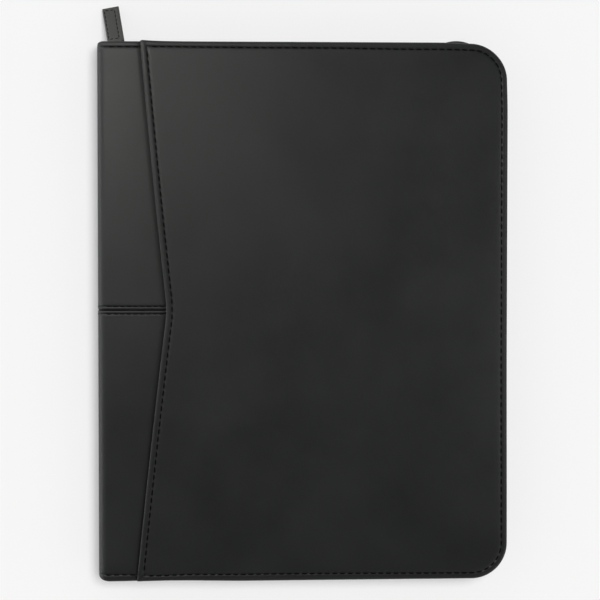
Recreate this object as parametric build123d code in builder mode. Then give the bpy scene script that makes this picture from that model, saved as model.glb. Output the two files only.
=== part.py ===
"""Zippered padfolio for a letter pad, closed and lying on its back cover.

X runs from the spine to the free edge, Y to the top edge and Z up through the
covers. The origin is the middle of the back cover's outer face. Lengths are in
millimetres.
"""
import math
import os

from build123d import *

os.makedirs("parts", exist_ok=True)

# Writing pad and the room round it, which set the size of the covers
pad_width = 215.9
pad_length = 279.4
pad_thickness = 5.0
spine_channel = 19.8
pad_margin = 8.5
pad_end_room = 18.5

# Covers
closed_thickness = 27.0
corner_radius = 22.0
spine_corner_radius = 4.0
edge_roll = 2.0
skin = 1.0
foam = 1.0
board = 2.0
spine_board_thickness = 1.5
lining = 0.6
board_setback = 2.0

# Folds between the spine and the two covers
fold_radius = 5.0
fold_gap = 0.3
half_fold = 45.0

# Lap seam of the main panels, as distances from the spine's outer face
lap_top = 27.6
lap_apex = 42.9
lap_bottom = 23.0
lap_bow = 1.0
lap_apex_radius = 60.0
underlap = 8.0
seam_height = 1.0
seam_gap = 0.1
overrun = 10.0

# Zipper
tape_inset = 6.2
tape = 0.6
tape_flange = 4.7
zipper_end = 4.0
coil_depth = 2.4
coil_height = 2.2
row_gap = 1.4
stop_length = 1.8

# Slider and pull tab
slider_start = 12.5
slider_length = 12.0
slider_taper = 0.6
mouth_corner = 1.5
waist_corner = 4.0
tail_corner = 2.0
slider_play = 0.35
plate = 1.2
lip = 1.2
post = 1.0
post_length = 4.2
post_setback = 0.8
bar_diameter = 1.6
bar_height = 2.5
bar_span = 8.0
bar_bend = 0.9
pull_length = 25.8
pull_width = 9.8
pull_layer = 1.2
pull_neck = 5.6
pull_shoulder = 3.4
pull_corner = 1.0
pull_skew = 8.4
pull_play = 0.2
floor_play = 0.3

# Pocket that holds the pad, and the pad's card and binding
backing = 0.9
pocket_skin = 0.9
pocket_play = 0.1
pocket_border = 7.0
pocket_depth = 165.0
pocket_corner = 3.0
binding = 0.3
binding_lap = 12.0

# Organizer on the front lining
organizer_layer = 0.8
organizer_side = 3.0
organizer_margin = 7.0
document_border = 5.0
document_reveal = 47.4
card_width = 100.0
card_depth = 60.0
card_step = 17.0
card_corner = 2.0
window_width = 96.0
window_depth = 66.0
window_border = 7.0
window_corner = 3.0
window_gap = 10.0
film = 0.3

# Pen loop
loop_bore = 11.0
loop_wall = 0.8
loop_length = 22.0
loop_tab = 2.0
loop_height = 48.0

# Levels and places that follow from the sizes above
cover_width = spine_channel + pad_width + pad_margin + tape + tape_inset
cover_height = pad_length + 2 * (pad_end_room + tape + tape_inset)
spine_x = -cover_width / 2
free_x = cover_width / 2
half_height = cover_height / 2
fold_x = spine_x + fold_radius

back_wrap_low = skin
back_board_low = 2 * skin
back_lining_low = back_board_low + board
back_inside = back_lining_low + lining

front_skin_low = closed_thickness - skin
front_wrap_low = closed_thickness - 2 * skin
front_foam_low = front_wrap_low - foam
front_board_low = front_foam_low - board
front_inside = front_board_low - lining

back_fold_z = back_wrap_low + fold_radius
front_fold_z = front_skin_low - fold_radius
zipper_z = (back_inside + front_inside) / 2
tape_x = spine_x + zipper_end
tape_mid = tape_inset + tape / 2
row_x = tape_x + stop_length
tape_y = half_height - tape_mid
slider_x = spine_x + slider_start
fold_sweep = half_fold - math.degrees(fold_gap / fold_radius) / 2


def save(piece, name):
    """Label a finished piece and write it to its own file."""
    piece.part.label = name
    export_step(piece.part, f"parts/{name}.step")


def cover_face(inset, left, left_radius=0):
    """Outline of a cover, drawn in by inset, from left to the free edge."""
    right = free_x - inset
    half = half_height - inset
    right_radius = corner_radius - inset
    with BuildSketch() as outline:
        with BuildLine():
            FilletPolyline(
                (left, half),
                (left, -half),
                (right, -half),
                (right, half),
                radius=[left_radius, left_radius, right_radius, right_radius],
                close=True,
            )
        make_face()
    return outline.sketch


def lap_region(shift):
    """All that lies on the free side of the lap's edge, moved by shift."""
    top = Vector(spine_x + lap_top + shift, half_height)
    apex = Vector(spine_x + lap_apex + shift, seam_height)
    bottom = Vector(spine_x + lap_bottom + shift, -half_height)
    far = free_x + overrun
    with BuildSketch() as region:
        with BuildLine():
            SagittaArc(top, apex, -lap_bow)
            SagittaArc(apex, bottom, -lap_bow)
            Polyline(
                bottom,
                bottom - (0, overrun),
                (far, bottom.Y - overrun),
                (far, top.Y + overrun),
                top + (0, overrun),
                top,
            )
        make_face()
        fillet(region.vertices().sort_by_distance((apex.X, apex.Y))[0], lap_apex_radius)
    return region.sketch


past_lap = lap_region(0)
past_underlap = lap_region(underlap)
cover_outer = cover_face(0, fold_x)
cover_inner = cover_face(skin, fold_x)
closed_outline = cover_face(0, spine_x, spine_corner_radius)


def panel(skin_low, rim_low, rim_high, outer_z):
    """Main leatherette panel: a face with a rim turned over three edges."""
    with BuildPart() as piece:
        with BuildSketch(Plane.XY.offset(skin_low)):
            add(cover_outer)
            add(past_lap, mode=Mode.INTERSECT)
        extrude(amount=skin)
        with BuildSketch(Plane.XY.offset(rim_low)):
            add(cover_outer)
            add(cover_inner, mode=Mode.SUBTRACT)
            add(past_lap, mode=Mode.INTERSECT)
        extrude(amount=rim_high - rim_low)
        outer_face = piece.faces().filter_by(Axis.Z).sort_by_distance((free_x, 0, outer_z))[0]
        turned = outer_face.edges().filter_by_position(Axis.X, spine_x + lap_apex, free_x)
        fillet(turned, edge_roll)
    return piece


def half_span(upper):
    """Lower and upper Y of one half of the spine wrap, seam gap taken off."""
    if upper:
        return seam_height + seam_gap / 2, half_height
    return -half_height, seam_height - seam_gap / 2


def wrap_half(upper):
    """Band that holds the upper or the lower half of the wrap."""
    low, high = half_span(upper)
    with BuildSketch() as band:
        with Locations((0, (low + high) / 2)):
            Rectangle(2 * cover_width, high - low)
    return band.sketch


def fold_sector(centre_z, start, size):
    """Ring sector of skin at a fold, from a start angle over size."""
    centre = (fold_x, centre_z)
    with BuildSketch() as sector:
        with BuildLine():
            outer = CenterArc(centre, fold_radius, start, size)
            inner = CenterArc(centre, fold_radius - skin, start, size)
            Line(outer @ 0, inner @ 0)
            Line(outer @ 1, inner @ 1)
        make_face()
    return sector.sketch


def wrap_strip(upper, strip_low, rim_low, rim_high, fold_z, fold_start):
    """One half of the wrap where it lies in a cover, with its part of the fold."""
    low, high = half_span(upper)
    with BuildPart() as piece:
        with BuildSketch(Plane.XY.offset(strip_low)):
            add(cover_outer)
            add(past_lap, mode=Mode.SUBTRACT)
            add(wrap_half(upper), mode=Mode.INTERSECT)
        with BuildSketch(Plane.XY.offset(strip_low)):
            add(cover_inner)
            add(past_underlap, mode=Mode.SUBTRACT)
            add(wrap_half(upper), mode=Mode.INTERSECT)
        extrude(amount=skin)
        with BuildSketch(Plane.XY.offset(rim_low)):
            add(cover_outer)
            add(cover_inner, mode=Mode.SUBTRACT)
            add(past_lap, mode=Mode.SUBTRACT)
            add(wrap_half(upper), mode=Mode.INTERSECT)
        extrude(amount=rim_high - rim_low)
        with BuildSketch(Plane.XZ.offset(-high)):
            add(fold_sector(fold_z, fold_start, fold_sweep))
        extrude(amount=high - low)
        with BuildSketch():
            add(closed_outline)
        extrude(amount=closed_thickness, mode=Mode.INTERSECT)
    return piece


def spine_wall(upper):
    """One half of the wrap where it stands upright along the spine."""
    low, high = half_span(upper)
    with BuildPart() as piece:
        with BuildSketch(Plane.XZ.offset(-high)):
            add(fold_sector(front_fold_z, 180 - fold_sweep, fold_sweep))
            add(fold_sector(back_fold_z, 180, fold_sweep))
            with Locations((spine_x + skin / 2, (back_fold_z + front_fold_z) / 2)):
                Rectangle(skin, front_fold_z - back_fold_z)
        extrude(amount=high - low)
        with BuildSketch():
            add(closed_outline)
        extrude(amount=closed_thickness, mode=Mode.INTERSECT)
    return piece


def flat_sheet(inset, left, low, thickness):
    """A layer of a cover with the cover's own outline, drawn in by inset."""
    with BuildPart() as piece:
        with BuildSketch(Plane.XY.offset(low)):
            add(cover_face(inset, left))
        extrude(amount=thickness)
    return piece


# Front cover: leatherette, padding, board and lining
front_panel = panel(front_skin_low, front_board_low, front_skin_low, closed_thickness)
save(front_panel, "front_panel")

for upper, half in ((True, "upper"), (False, "lower")):
    front_wrap = wrap_strip(
        upper, front_wrap_low, front_board_low, front_wrap_low, front_fold_z, 90
    )
    save(front_wrap, f"spine_wrap_front_{half}")

with BuildPart() as front_foam:
    with BuildSketch(Plane.XY.offset(front_foam_low)):
        add(cover_inner)
    extrude(amount=foam)
    with BuildSketch(Plane.XY.offset(front_wrap_low)):
        add(cover_inner)
        add(past_underlap, mode=Mode.INTERSECT)
    extrude(amount=skin)
save(front_foam, "front_foam")

front_board = flat_sheet(skin, fold_x + board_setback, front_board_low, board)
save(front_board, "front_board")

front_lining = flat_sheet(skin, fold_x, front_inside, lining)
save(front_lining, "front_lining")

# Back cover: the same build with a thin levelling foam
back_panel = panel(0, skin, back_lining_low, 0)
save(back_panel, "back_panel")

for upper, half in ((True, "upper"), (False, "lower")):
    back_wrap = wrap_strip(
        upper, back_wrap_low, back_board_low, back_lining_low, back_fold_z, 270 - fold_sweep
    )
    save(back_wrap, f"spine_wrap_back_{half}")

with BuildPart() as back_foam:
    with BuildSketch(Plane.XY.offset(back_wrap_low)):
        add(cover_inner)
        add(past_underlap, mode=Mode.INTERSECT)
    extrude(amount=skin)
save(back_foam, "back_foam")

back_board = flat_sheet(skin, fold_x + board_setback, back_board_low, board)
save(back_board, "back_board")

back_lining = flat_sheet(skin, fold_x, back_lining_low, lining)
save(back_lining, "back_lining")

# Spine: two upright halves of the wrap, board, lining and pen loop
for upper, half in ((True, "upper"), (False, "lower")):
    save(spine_wall(upper), f"spine_wall_{half}")

spine_middle = (back_fold_z + front_fold_z) / 2
spine_flat = front_fold_z - back_fold_z
spine_board_x = spine_x + skin
spine_lining_x = spine_board_x + spine_board_thickness

with BuildPart() as spine_board:
    with Locations((spine_board_x + spine_board_thickness / 2, 0, spine_middle)):
        Box(spine_board_thickness, cover_height - 2 * spine_corner_radius, spine_flat)
save(spine_board, "spine_board")

with BuildPart() as spine_lining:
    with Locations((spine_lining_x + lining / 2, 0, spine_middle)):
        Box(lining, cover_height - 2 * spine_corner_radius, spine_flat)
save(spine_lining, "spine_lining")

loop_outer = loop_bore / 2 + loop_wall
loop_x = spine_lining_x + lining + loop_outer
with BuildPart() as pen_loop:
    with BuildSketch(Plane.XZ.offset(-loop_height - loop_length)):
        with Locations((loop_x, spine_middle)):
            Circle(loop_outer)
        with Locations((spine_lining_x + lining + loop_wall / 2, spine_middle)):
            Rectangle(loop_wall, loop_bore + 2 * loop_tab)
        with Locations((loop_x, spine_middle)):
            Circle(loop_bore / 2, mode=Mode.SUBTRACT)
    extrude(amount=loop_length)
save(pen_loop, "pen_loop")

# Writing pad: card back in the pocket, sheets over the pocket, binding on top
pad_right = free_x - tape_inset - tape - pad_margin
pad_x = pad_right - pad_width / 2
pad_bottom = -pad_length / 2
pad_top = pad_length / 2
pocket_bottom = pad_bottom - pocket_border
pocket_top = pocket_bottom + pocket_depth
pocket_roof = back_inside + backing + pocket_play
sheets_low = pocket_roof + pocket_skin + pocket_play
sheets_high = sheets_low + pad_thickness

with BuildPart() as pad_pocket:
    with BuildSketch(Plane.XY.offset(back_inside)):
        with Locations((pad_x, (pocket_bottom + pocket_top) / 2)):
            RectangleRounded(pad_width + 2 * pocket_border, pocket_depth, pocket_corner)
    extrude(amount=pocket_roof + pocket_skin - back_inside)
    with BuildSketch(Plane.XY.offset(back_inside)):
        with Locations((pad_x, pad_bottom - pocket_play + pad_length / 2)):
            Rectangle(pad_width + 2 * pocket_play, pad_length)
    extrude(amount=pocket_roof - back_inside, mode=Mode.SUBTRACT)
save(pad_pocket, "pad_pocket")

with BuildPart() as pad_backing:
    with BuildSketch(Plane.XY.offset(back_inside)):
        with Locations((pad_x, 0)):
            Rectangle(pad_width, pad_length)
    extrude(amount=backing)
save(pad_backing, "pad_backing")

with BuildPart() as pad_sheets:
    with BuildSketch(Plane.XY.offset(sheets_low)):
        with Locations((pad_x, 0)):
            Rectangle(pad_width, pad_length)
    extrude(amount=pad_thickness)
    free_length = pad_top - pocket_top - 2 * pocket_play
    with BuildSketch(Plane.XY.offset(back_inside + backing)):
        with Locations((pad_x, pad_top - free_length / 2)):
            Rectangle(pad_width, free_length)
    extrude(amount=sheets_low - back_inside - backing)
save(pad_sheets, "pad_sheets")

with BuildPart() as pad_binding:
    with Locations((pad_x, pad_top - binding_lap / 2, sheets_high + binding / 2)):
        Box(pad_width, binding_lap, binding)
    rise = sheets_high + binding - back_inside
    with Locations((pad_x, pad_top + binding / 2, back_inside + rise / 2)):
        Box(pad_width, binding, rise)
save(pad_binding, "pad_binding")

# Organizer sewn to the front lining
organizer_right = free_x - tape_inset - tape - organizer_side
organizer_bottom = -half_height + tape_inset + tape + organizer_side
document_low = front_inside - organizer_layer
document_width = pad_width + 2 * document_border
document_depth = pad_length - document_reveal
document_x = organizer_right - document_width / 2
document_corner = corner_radius - tape_inset - tape - organizer_side

with BuildPart() as document_pocket:
    with BuildSketch(Plane.XY.offset(document_low)):
        with Locations((document_x, organizer_bottom + document_depth / 2)):
            RectangleRounded(document_width, document_depth, document_corner)
    extrude(amount=organizer_layer)
save(document_pocket, "document_pocket")

card_x = organizer_right - organizer_margin - card_width / 2
card_bottom = organizer_bottom + organizer_margin
for tier in range(3):
    card_tall = card_depth + (2 - tier) * card_step
    with BuildPart() as card_pocket:
        with BuildSketch(Plane.XY.offset(document_low - (tier + 1) * organizer_layer)):
            with Locations((card_x, card_bottom + card_tall / 2)):
                RectangleRounded(card_width, card_tall, card_corner)
        extrude(amount=organizer_layer)
    save(card_pocket, f"card_pocket_{tier + 1}")

window_x = card_x - card_width / 2 - window_gap - window_width / 2
window_y = card_bottom + window_depth / 2
clear_width = window_width - 2 * window_border
clear_depth = window_depth - 2 * window_border
with BuildPart() as id_window_frame:
    with BuildSketch(Plane.XY.offset(document_low - organizer_layer)):
        with Locations((window_x, window_y)):
            RectangleRounded(window_width, window_depth, window_corner)
            RectangleRounded(clear_width, clear_depth, window_corner, mode=Mode.SUBTRACT)
    extrude(amount=organizer_layer)
save(id_window_frame, "id_window_frame")

with BuildPart() as id_window_film:
    with BuildSketch(Plane.XY.offset(document_low - film)):
        with Locations((window_x, window_y)):
            RectangleRounded(clear_width, clear_depth, window_corner)
    extrude(amount=film)
save(id_window_film, "id_window_film")


def tape_band(outer, inner, left):
    """Band that follows three edges of the cover, open at the spine."""
    with BuildSketch() as band:
        add(cover_face(outer, left))
        add(cover_face(inner, left - overrun), mode=Mode.SUBTRACT)
    return band.sketch


# Zipper: a tape, a coil row and end stops on each cover
row_reach = row_gap / 2 + coil_height
flange_inset = tape_inset - tape_flange
for side, lining_face, toward in (("front", front_inside, -1), ("back", back_inside, 1)):
    row_base = zipper_z - toward * row_reach
    with BuildPart() as zipper_tape:
        with BuildSketch(Plane.XY.offset(lining_face)):
            add(tape_band(flange_inset, tape_inset + tape, tape_x))
        extrude(amount=toward * tape)
        with BuildSketch(Plane.XY.offset(lining_face)):
            add(tape_band(tape_inset, tape_inset + tape, tape_x))
        extrude(amount=row_base - lining_face)
    save(zipper_tape, f"{side}_zipper_tape")

    with BuildPart() as zipper_coil:
        with BuildSketch(Plane.XY.offset(row_base)):
            add(tape_band(tape_mid - coil_depth / 2, tape_mid + coil_depth / 2, row_x))
        extrude(amount=toward * coil_height)
    save(zipper_coil, f"{side}_zipper_coil")

    with BuildPart() as zipper_stops:
        stop_x = row_x - stop_length / 2
        stop_z = row_base + toward * coil_height / 2
        with Locations((stop_x, tape_y, stop_z), (stop_x, -tape_y, stop_z)):
            Box(stop_length, coil_depth, coil_height)
    save(zipper_stops, f"{side}_zipper_stops")

# Slider: two plates joined by a post between the rows, lips on the back row
plate_gap = coil_depth / 2 + slider_play
mouth = row_reach + slider_play + lip
slider_left = slider_x - slider_length / 2
slider_right = slider_x + slider_length / 2


slider_tail = mouth - slider_taper

with BuildSketch() as slider_outline:
    with BuildLine():
        FilletPolyline(
            (slider_left, zipper_z - mouth),
            (slider_x, zipper_z - mouth),
            (slider_right, zipper_z - slider_tail),
            (slider_right, zipper_z + slider_tail),
            (slider_x, zipper_z + mouth),
            (slider_left, zipper_z + mouth),
            radius=[mouth_corner, waist_corner, tail_corner, tail_corner, waist_corner, mouth_corner],
            close=True,
        )
    make_face()

with BuildPart() as slider_body:
    for face_y, grow in ((tape_y + plate_gap, -plate), (tape_y - plate_gap, plate)):
        with BuildSketch(Plane.XZ.offset(-face_y)):
            add(slider_outline.sketch)
        extrude(amount=grow)
    outer_edges = slider_body.faces().filter_by(Axis.Y).sort_by(Axis.Y)[-1].edges()
    fillet(outer_edges, plate / 2)
    lip_top = zipper_z - row_reach - slider_play
    slot = tape / 2 + slider_play
    for face_y, grow in ((tape_y + plate_gap, plate_gap - slot), (tape_y - plate_gap, slot - plate_gap)):
        with BuildSketch(Plane.XZ.offset(-face_y)):
            add(slider_outline.sketch)
            with Locations((slider_x, lip_top - mouth)):
                Rectangle(2 * slider_length, 2 * mouth, mode=Mode.INTERSECT)
        extrude(amount=grow)
    with Locations((slider_left + post_setback + post_length / 2, tape_y, zipper_z)):
        Box(post_length, 2 * plate_gap, post)
save(slider_body, "slider_body")

plate_y = tape_y + plate_gap + plate
bar_y = plate_y + bar_height
with BuildPart() as slider_bridge:
    with BuildLine() as arch:
        FilletPolyline(
            (slider_x - bar_span / 2, plate_y, zipper_z),
            (slider_x - bar_span / 2, bar_y, zipper_z),
            (slider_x + bar_span / 2, bar_y, zipper_z),
            (slider_x + bar_span / 2, plate_y, zipper_z),
            radius=bar_bend,
        )
    with BuildSketch(Plane(origin=arch.line @ 0, z_dir=arch.line % 0)):
        Circle(bar_diameter / 2)
    sweep()
save(slider_bridge, "slider_bridge")

# Pull tab: a folded leather strip that hangs from the bar with its tip by the floor
loop_radius = bar_diameter / 2 + pull_play + pull_layer
skew = math.radians(pull_skew)
tip_reach = pull_length * math.cos(skew) + pull_width / 2 * math.sin(skew)
drop = zipper_z - floor_play
droop = math.asin(drop / math.hypot(tip_reach, pull_layer)) - math.atan2(pull_layer, tip_reach)
pull_plane = Plane(
    origin=(slider_x, bar_y, zipper_z),
    x_dir=(1, 0, 0),
    z_dir=(0, math.sin(droop), math.cos(droop)),
)

with BuildPart(pull_plane) as pull_tab:
    with BuildSketch(pull_plane):
        with Locations(Location((0, 0, 0), (0, 0, pull_skew))):
            with Locations((0, (pull_shoulder + pull_length) / 2)):
                RectangleRounded(pull_width, pull_length - pull_shoulder, pull_corner)
        with Locations((0, pull_shoulder)):
            Rectangle(pull_neck, 2 * pull_shoulder)
    extrude(amount=pull_layer, both=True)
    with Locations(Location((0, 0, 0), (0, 90, 0))):
        Cylinder(loop_radius, pull_neck)
        Cylinder(bar_diameter / 2 + pull_play, 2 * pull_width, mode=Mode.SUBTRACT)
save(pull_tab, "pull_tab")
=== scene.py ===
import math
import random

import bmesh
import bpy
from mathutils import Matrix, Vector


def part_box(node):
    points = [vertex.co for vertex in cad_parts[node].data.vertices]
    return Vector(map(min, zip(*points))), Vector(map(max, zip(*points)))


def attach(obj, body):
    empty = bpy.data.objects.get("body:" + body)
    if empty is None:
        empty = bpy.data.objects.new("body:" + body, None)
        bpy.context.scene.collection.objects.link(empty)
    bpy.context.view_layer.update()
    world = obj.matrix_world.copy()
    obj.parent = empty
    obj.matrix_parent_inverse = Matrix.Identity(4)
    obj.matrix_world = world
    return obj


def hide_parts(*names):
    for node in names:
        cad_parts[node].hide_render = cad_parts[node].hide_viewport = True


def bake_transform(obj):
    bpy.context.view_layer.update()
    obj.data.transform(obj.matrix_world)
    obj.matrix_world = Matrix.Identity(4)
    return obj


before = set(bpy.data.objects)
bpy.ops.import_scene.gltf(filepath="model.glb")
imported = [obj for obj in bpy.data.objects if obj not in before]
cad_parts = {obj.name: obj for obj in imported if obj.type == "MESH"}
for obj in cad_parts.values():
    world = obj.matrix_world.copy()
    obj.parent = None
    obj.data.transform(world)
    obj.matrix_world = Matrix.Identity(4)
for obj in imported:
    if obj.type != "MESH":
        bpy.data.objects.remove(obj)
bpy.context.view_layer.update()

# Stiffening boards of the two covers and the spine: grey chipboard, cut to shape and
# glued between the leatherette and the lining, with the covers' free corners rounded.
mm = 0.001
corner_segments = 10
facing_share = 0.9
board_corner = 25 * mm
board_margin = 1 * mm
board_edge = ((0.2, 0.0),)


def new_material(name, values):
    """A node material with its shader's plain values set, its node tree and its shader."""
    material = bpy.data.materials.new(name)
    material.use_nodes = True
    tree = material.node_tree
    shader = tree.nodes["Principled BSDF"]
    for socket, value in values.items():
        shader.inputs[socket].default_value = value
    return material, tree, shader


def add_node(tree, kind, inputs, **settings):
    """A node with its settings made and its inputs set or linked."""
    node = tree.nodes.new(kind)
    for setting, value in settings.items():
        setattr(node, setting, value)
    for socket, value in inputs.items():
        if isinstance(value, bpy.types.NodeSocket):
            tree.links.new(value, node.inputs[socket])
        else:
            node.inputs[socket].default_value = value
    return node


def blend_colours(tree, share, first, second):
    """The colour between two others, at a share that changes over the surface."""
    mix = add_node(tree, "ShaderNodeMix", {0: share, 6: first, 7: second}, data_type="RGBA")
    return mix.outputs[2]


def rough_bump(tree, shader, height, strength, distance):
    """Bump on a shader's normal from a height that changes over the surface."""
    values = {"Strength": strength, "Distance": distance, "Height": height}
    bump = add_node(tree, "ShaderNodeBump", values)
    tree.links.new(bump.outputs["Normal"], shader.inputs["Normal"])


def map_range(tree, value, start=0.0, stop=1.0, low=0.0, high=1.0, kind="LINEAR"):
    """A value moved from one range into another."""
    values = {"Value": value, 1: start, 2: stop, 3: low, 4: high}
    node = add_node(tree, "ShaderNodeMapRange", values, interpolation_type=kind)
    return node.outputs["Result"]


def surface_place(tree, kind="Object"):
    """The place of a surface in its object, or on its UV map."""
    return add_node(tree, "ShaderNodeTexCoord", {}).outputs[kind]


def mottle(tree, scale, detail):
    """Noise over the place of a surface in its object, from 0 to 1."""
    values = {"Vector": surface_place(tree), "Scale": scale, "Detail": detail}
    return add_node(tree, "ShaderNodeTexNoise", values).outputs["Fac"]


def mottled_material(name, values, noise, dark, light, bump=None, gloss=None):
    """A material with noise between two colours, and bump and roughness from the same."""
    material, tree, shader = new_material(name, values)
    specks = mottle(tree, *noise)
    tree.links.new(blend_colours(tree, specks, dark, light), shader.inputs["Base Color"])
    if gloss:
        roughness = map_range(tree, specks, low=gloss[0], high=gloss[1])
        tree.links.new(roughness, shader.inputs["Roughness"])
    if bump:
        rough_bump(tree, shader, specks, *bump)
    return material


def dress_nodes(material, *names):
    """Gives CAD nodes that stay in sight their material."""
    for name in names:
        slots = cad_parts[name].data.materials
        slots.clear()
        slots.append(material)


def finish_piece(piece, material, smooth_angle=40):
    """Smooth shading up to an angle, and the material."""
    piece.data.shade_smooth()
    piece.data.set_sharp_from_angle(angle=math.radians(smooth_angle))
    piece.data.materials.clear()
    piece.data.materials.append(material)


def start_piece(name, add, **settings):
    """A new piece from one of the plain meshes, alone selected."""
    bpy.ops.object.select_all(action="DESELECT")
    add(**settings)
    piece = bpy.context.object
    piece.name = name
    return piece


def cut_sheet(name, low, high, z, corners):
    """A flat sheet from a plane, with some corners rounded: sides of x and y, and radius."""
    middle = ((low.x + high.x) / 2, (low.y + high.y) / 2, z)
    sheet = start_piece(name, bpy.ops.mesh.primitive_plane_add, size=1, location=middle)
    sheet.data.name = name
    sheet.scale = (high.x - low.x, high.y - low.y, 1)
    bpy.ops.object.transform_apply(location=True, rotation=False, scale=True)
    bpy.ops.object.mode_set(mode="EDIT")
    bpy.ops.mesh.select_mode(type="VERT")
    for side_x, side_y, radius in corners:
        bpy.ops.mesh.select_all(action="DESELECT")
        mesh = bmesh.from_edit_mesh(sheet.data)
        corner_place = Vector(
            (high.x if side_x > 0 else low.x, high.y if side_y > 0 else low.y, z)
        )
        nearest = min(mesh.verts, key=lambda vertex: (vertex.co - corner_place).length)
        nearest.select = True
        mesh.select_flush_mode()
        bmesh.update_edit_mesh(sheet.data)
        bpy.ops.mesh.bevel(offset=radius, segments=corner_segments, affect="VERTICES")
    return sheet


def free_corners(radius):
    """The two corners of a cover's sheet away from the spine, with their radius."""
    return ((1, 1, radius), (1, -1, radius))


def select_faces(piece, chosen):
    """Selects the faces of a mesh in edit mode whose normal is chosen."""
    bpy.ops.mesh.select_mode(type="FACE")
    bpy.ops.mesh.select_all(action="DESELECT")
    mesh = bmesh.from_edit_mesh(piece.data)
    for face in mesh.faces:
        face.select = chosen(face.normal)
    bmesh.update_edit_mesh(piece.data)


def raise_sheet(sheet, out, thickness, steps):
    """Thickens a sheet in edit mode, then steps its face in and up or down."""
    bpy.ops.mesh.select_mode(type="FACE")
    bpy.ops.mesh.select_all(action="SELECT")
    bpy.ops.mesh.extrude_region_move(
        TRANSFORM_OT_translate={"value": (0, 0, out * thickness)}
    )
    bpy.ops.mesh.select_all(action="SELECT")
    bpy.ops.mesh.normals_make_consistent(inside=False)
    select_faces(sheet, lambda normal: normal.z * out > facing_share)
    for inset, rise in steps:
        bpy.ops.mesh.inset(thickness=inset * mm, depth=rise * mm)
    bpy.ops.object.mode_set(mode="OBJECT")


greyboard = mottled_material(
    "greyboard",
    {"Roughness": 0.9},
    (900, 4),
    (0.20, 0.19, 0.17, 1),
    (0.36, 0.34, 0.31, 1),
    bump=(0.4, 0.2 * mm),
)
dress_nodes(greyboard, "spine_board")
for side in ("front", "back"):
    low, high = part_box(side + "_board")
    low.y += board_margin
    high.y -= board_margin
    corners = free_corners(board_corner)
    board = cut_sheet(side + "_greyboard", low, high, low.z, corners)
    raise_sheet(board, 1, high.z - low.z, board_edge)
    finish_piece(board, greyboard)
    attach(board, side + "_cover")
    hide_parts(side + "_board")

# Padding of the two covers: a sheet of thin charcoal foam glued to each board under the
# leatherette, cut back from the spine. Its open cells show only at a cut edge.
foam, tree, shader = new_material("cover_foam", {"Roughness": 0.95})
values = {"Vector": surface_place(tree), "Scale": 2200}
cells = add_node(tree, "ShaderNodeTexVoronoi", values).outputs["Distance"]
foam_colour = blend_colours(tree, cells, (0.03, 0.03, 0.03, 1), (0.10, 0.10, 0.10, 1))
tree.links.new(foam_colour, shader.inputs["Base Color"])
rough_bump(tree, shader, cells, 0.6, 0.3 * mm)

foam_thick = 0.8 * mm
foam_back = 14 * mm
foam_margin = 1 * mm
foam_corner = 25 * mm
foam_edge = ((0.3, 0.0),)
for side, out in (("front", 1), ("back", -1)):
    low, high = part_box(side + "_foam")
    base_z = low.z if out > 0 else high.z
    low.x += foam_back
    low.y += foam_margin
    high.x -= foam_margin
    high.y -= foam_margin
    padding = cut_sheet(side + "_padding", low, high, base_z, free_corners(foam_corner))
    raise_sheet(padding, out, foam_thick, foam_edge)
    finish_piece(padding, foam)
    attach(padding, side + "_cover")
    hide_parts(side + "_foam")

# Front and back panels: one large piece of smooth black leatherette on each cover, turned
# over three edges and glued under. Its spine side is folded into a lap and topstitched.
spine_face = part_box("spine_wall_upper")[0].x
edge_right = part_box("front_panel")[1].x
edge_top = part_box("front_panel")[1].y
edge_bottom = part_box("front_panel")[0].y
front_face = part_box("front_panel")[1].z
cover_corner = 22 * mm
corner_x = edge_right - cover_corner
corner_y = edge_top - cover_corner
leather = 0.5 * mm

seam_y = 1.7 * mm
lap_top_reach = 26.1 * mm
lap_peak_reach = 41.9 * mm
lap_bottom_reach = 23.2 * mm
lap_bow = 0.5 * mm
lap_turn = 0.261
lap_round = 7.9 * mm
flare_top = 0.9 * mm
flare_bottom = 0.25 * mm
flare_reach = 9 * mm
flare_depth = 12 * mm
flare_tuck = 0.4
flare_bend = 2 * mm
# Places where sewing and wear have pulled the edge out of line: place, pull and its reach.
edge_pulls = (
    (Vector((edge_right, edge_top, 0)), Vector((-0.8, -1.1, 0)) * mm, 45 * mm),
    (Vector((-85 * mm, edge_bottom, 0)), Vector((0, 0.7, 0)) * mm, 50 * mm),
    (Vector((edge_right, edge_bottom, 0)), Vector((0.5, 0, 0)) * mm, 150 * mm),
)
# The same for the sewn row alone, which wanders a little from its distance to the edge.
row_drifts = (
    (Vector((-10 * mm, edge_bottom, 0)), Vector((0, 0.6, 0)) * mm, 110 * mm),
    (Vector((-115 * mm, edge_bottom, 0)), Vector((0, 0.4, 0)) * mm, 25 * mm),
    (Vector((-88 * mm, edge_bottom, 0)), Vector((0, -0.6, 0)) * mm, 22 * mm),
    (Vector((72 * mm, edge_top, 0)), Vector((0, -0.55, 0)) * mm, 60 * mm),
    (Vector((-100 * mm, edge_top, 0)), Vector((0, 0.35, 0)) * mm, 80 * mm),
)

steps_a_stitch = 4
lap_steps = 276
bottom_steps = 172
corner_steps = 24
right_steps = 240
top_steps = 168

# Rows of the turned edge: distance in from the edge and depth below the face, then the
# same for the fold of the lap.
turned_rows = (
    (1.4, 5.70, 3.0, 0.93),
    (1.0, 5.75, 2.2, 0.95),
    (0.45, 5.55, 1.5, 0.95),
    (0.12, 5.15, 1.0, 0.93),
    (0.0, 4.6, 0.6, 0.90),
    (0.0, 3.4, 0.3, 0.80),
    (0.02, 2.4, 0.1, 0.62),
)
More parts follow.
